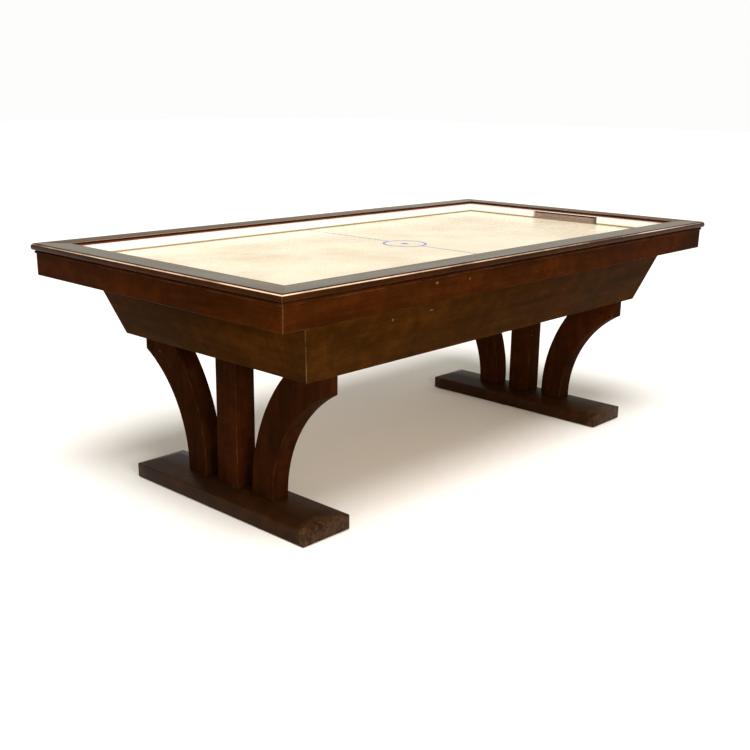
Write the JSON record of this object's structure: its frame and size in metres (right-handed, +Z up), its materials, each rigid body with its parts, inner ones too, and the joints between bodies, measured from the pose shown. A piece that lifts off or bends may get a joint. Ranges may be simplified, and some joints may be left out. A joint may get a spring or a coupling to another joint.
{
  "type": "air hockey table",
  "caption": "Dark wood air hockey table with a cream rink, white puck rails and two curved-leg pedestals.",
  "frame": {"origin": "floor level under the middle of the table", "axes": "+X along the table's length, +Y across it, +Z up"},
  "size_m": [2.4, 1.27, 0.86],
  "materials": {
    "stained_wood": "satin lacquer over a dark brown stain",
    "maroon_trim": "satin",
    "white_rail": "semi-gloss",
    "rink_laminate": "semi-gloss laminate",
    "blue_print": "printed film",
    "plain_wood": "raw plywood and softwood",
    "black_plastic": "moulded",
    "red_plastic": "moulded",
    "steel": "zinc plated",
    "grey_paint": "satin paint"
  },
  "bodies": {
    "table": {"cap_front": "stained_wood", "cap_back": "stained_wood", "cap_left": "stained_wood", "cap_right": "stained_wood", "trim_front": "maroon_trim", "trim_back": "maroon_trim", "trim_left": "maroon_trim", "trim_right": "maroon_trim", "rail_front": "white_rail", "rail_back": "white_rail", "rail_left": "white_rail", "rail_right": "white_rail", "fascia_front": "stained_wood", "fascia_back": "stained_wood", "fascia_left": "stained_wood", "fascia_right": "stained_wood", "apron_front": "stained_wood", "apron_back": "stained_wood", "apron_left": "stained_wood", "apron_right": "stained_wood", "rail_blocking": "plain_wood", "playfield": "rink_laminate", "markings": "blue_print", "plenum_frame": "plain_wood", "plenum_panel": "plain_wood", "deck_sides": "plain_wood", "deck_left": "plain_wood", "deck_right": "plain_wood", "corner_posts": "plain_wood", "cabinet_floor": "plain_wood", "goal_wedge_left": "plain_wood", "goal_wedge_right": "plain_wood", "goal_tray_left": "black_plastic", "goal_tray_right": "black_plastic", "bolster_left": "plain_wood", "bolster_right": "plain_wood", "foot_left": "stained_wood", "foot_right": "stained_wood", "post_left": "stained_wood", "post_right": "stained_wood", "leg_left_front": "stained_wood", "leg_left_back": "stained_wood", "leg_right_front": "stained_wood", "leg_right_back": "stained_wood", "pedestal_bolts": "steel", "leveller_inserts": "steel", "blower_housing": "grey_paint", "blower_motor": "grey_paint", "blower_screws": "steel", "intake_grille": "black_plastic", "switch_plate": "black_plastic", "power_inlet": "black_plastic"},
    "rotor": {"motor_shaft": "steel", "impeller": "black_plastic"},
    "rocker": {"power_switch": "red_plastic"},
    "leveller_left_front": {"leveller_left_front": "black_plastic"},
    "leveller_left_back": {"leveller_left_back": "black_plastic"},
    "leveller_right_front": {"leveller_right_front": "black_plastic"},
    "leveller_right_back": {"leveller_right_back": "black_plastic"}
  },
  "joints": [
    {"name": "impeller_spin", "type": "hinge", "parent": "table", "child": "rotor", "pos_m": [0, 0, 0.712], "axis": [0, 0, 1], "continuous": true},
    {"name": "switch_rock", "type": "hinge", "parent": "table", "child": "rocker", "pos_m": [0.63, -0.3, 0.537], "axis": [0, 1, 0], "range_deg": [-14, 0]},
    {"name": "leveller_left_front_screw", "type": "slide", "parent": "table", "child": "leveller_left_front", "axis": [0, 0, -1], "range_m": [0, 0.015]},
    {"name": "leveller_left_back_screw", "type": "slide", "parent": "table", "child": "leveller_left_back", "axis": [0, 0, -1], "range_m": [0, 0.015]},
    {"name": "leveller_right_front_screw", "type": "slide", "parent": "table", "child": "leveller_right_front", "axis": [0, 0, -1], "range_m": [0, 0.015]},
    {"name": "leveller_right_back_screw", "type": "slide", "parent": "table", "child": "leveller_right_back", "axis": [0, 0, -1], "range_m": [0, 0.015]}
  ]
}
